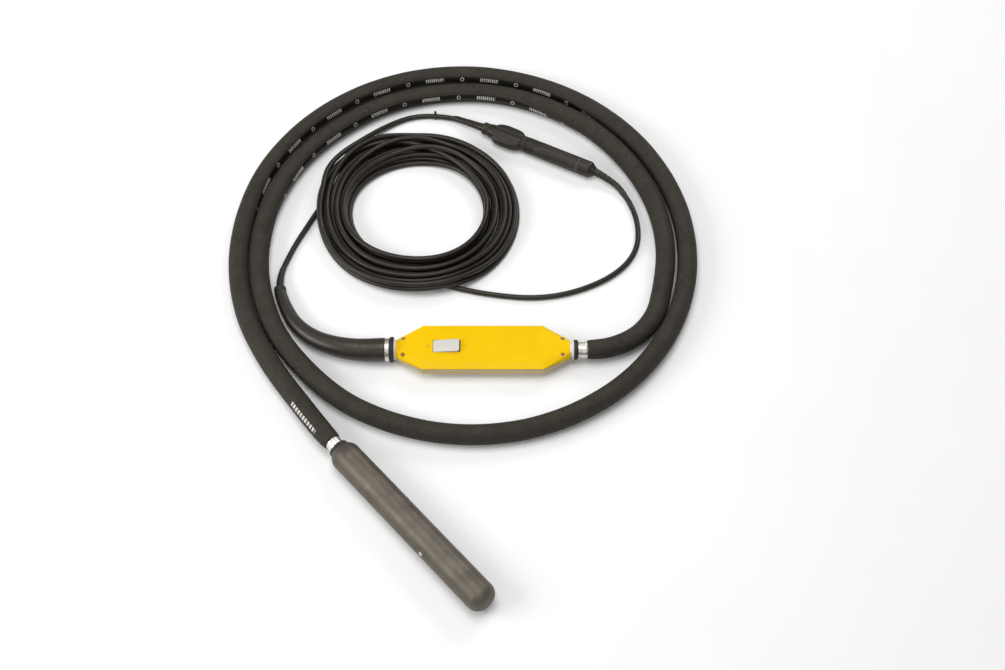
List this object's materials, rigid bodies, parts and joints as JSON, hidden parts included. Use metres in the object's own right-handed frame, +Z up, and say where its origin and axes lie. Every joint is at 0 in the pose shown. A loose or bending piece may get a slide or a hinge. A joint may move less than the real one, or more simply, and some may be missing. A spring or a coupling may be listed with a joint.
{
  "type": "concrete vibrator",
  "caption": "Internal concrete vibrator: steel poker head on a long rubber protective hose, flat yellow converter housing with rocker switch, coiled power cable with in-line unit.",
  "frame": {"origin": "centre of the converter housing's flat underside, on the surface that the tool lies on", "axes": "+X along the housing towards the protective hose, +Y across the housing towards the cable coil, +Z up"},
  "size_m": [0.9455, 1.283, 0.0594],
  "materials": {
    "yellow_shell": "satin powder coat",
    "grey_shell": "satin powder coat",
    "head_steel": "dull, bead-blasted and oiled",
    "bright_steel": "satin",
    "screw_steel": "zinc plated",
    "core_steel": "laminated",
    "bare_aluminium": "mill finish",
    "copper": "enamelled wire",
    "brass_cage": "turned",
    "hose_rubber": "cloth-marked matte rubber",
    "grip_rubber": "smooth moulded rubber",
    "black_rubber": "matte",
    "cable_rubber": "satin cable sheath",
    "connector_black": "moulded",
    "dark_plastic": "moulded",
    "light_plastic": "soft gloss",
    "cream_plastic": "moulded",
    "board_green": "solder mask",
    "capacitor_sleeve": "shrink sleeve"
  },
  "bodies": {
    "tool": {"upper_shell": "yellow_shell", "lower_shell": "grey_shell", "shell_gasket": "black_rubber", "housing_screws": "screw_steel", "switch_frame": "yellow_shell", "switch_body": "dark_plastic", "rocker_pin": "bright_steel", "heat_sink": "bare_aluminium", "power_module": "dark_plastic", "converter_board": "board_green", "smoothing_capacitors": "capacitor_sleeve", "filter_choke": "copper", "terminal_blocks": "dark_plastic", "inlet_nipple": "bright_steel", "inlet_washer": "cream_plastic", "inlet_seal": "black_rubber", "inlet_collar": "bright_steel", "handle_grip": "grip_rubber", "handle_end_ring": "black_rubber", "cable_relief": "cable_rubber", "outlet_nipple": "bright_steel", "outlet_washer": "cream_plastic", "outlet_seal": "black_rubber", "outlet_ferrule": "bright_steel", "protective_hose": "hose_rubber", "motor_lead": "cable_rubber", "hose_neck": "bright_steel", "neck_ring": "black_rubber", "rear_adapter": "head_steel", "adapter_seal": "black_rubber", "head_tube": "head_steel", "nose_cap": "head_steel", "nose_seal": "black_rubber", "lock_screw": "screw_steel", "stator_core": "core_steel", "stator_windings": "copper", "bearing_carriers": "bare_aluminium", "ball_bearing_outer": "bright_steel", "roller_bearing_outers": "bright_steel", "power_cable_start": "cable_rubber", "power_cable_coil": "cable_rubber", "power_cable_end": "cable_rubber", "cable_tie": "dark_plastic", "plug_relief": "cable_rubber", "plug_body": "connector_black", "plug_contacts": "brass_cage", "unit_body": "connector_black", "unit_ring": "dark_plastic", "lead_relief": "cable_rubber", "supply_lead": "cable_rubber", "mains_plug": "connector_black"},
    "rocker": {"switch_rocker": "light_plastic"},
    "rotor": {"rotor_shaft": "bright_steel", "rotor_core": "core_steel", "eccentric_weight": "core_steel", "ball_bearing_inner": "bright_steel", "roller_bearing_inners": "bright_steel"},
    "ball_set": {"bearing_balls": "bright_steel", "ball_cage": "brass_cage"},
    "roller_set": {"bearing_rollers": "bright_steel"}
  },
  "joints": [
    {"name": "switch_rocker_tilt", "type": "hinge", "parent": "tool", "child": "rocker", "pos_m": [-0.0705, 0, 0.033], "axis": [0, 1, 0], "range_deg": [0, 12]},
    {"name": "rotor_spin", "type": "hinge", "parent": "tool", "child": "rotor", "pos_m": [-0.265, -0.224, 0.029], "axis": [0.6691, -0.7431, 0], "continuous": true},
    {"name": "ball_set_orbit", "type": "hinge", "parent": "tool", "child": "ball_set", "pos_m": [-0.265, -0.224, 0.029], "axis": [0.6691, -0.7431, 0], "continuous": true},
    {"name": "roller_set_orbit", "type": "hinge", "parent": "tool", "child": "roller_set", "pos_m": [-0.265, -0.224, 0.029], "axis": [0.6691, -0.7431, 0], "continuous": true}
  ],
  "couplings": [
    {"joint": "ball_set_orbit", "follows": "rotor_spin", "ratio": 0.38},
    {"joint": "roller_set_orbit", "follows": "rotor_spin", "ratio": 0.404}
  ]
}
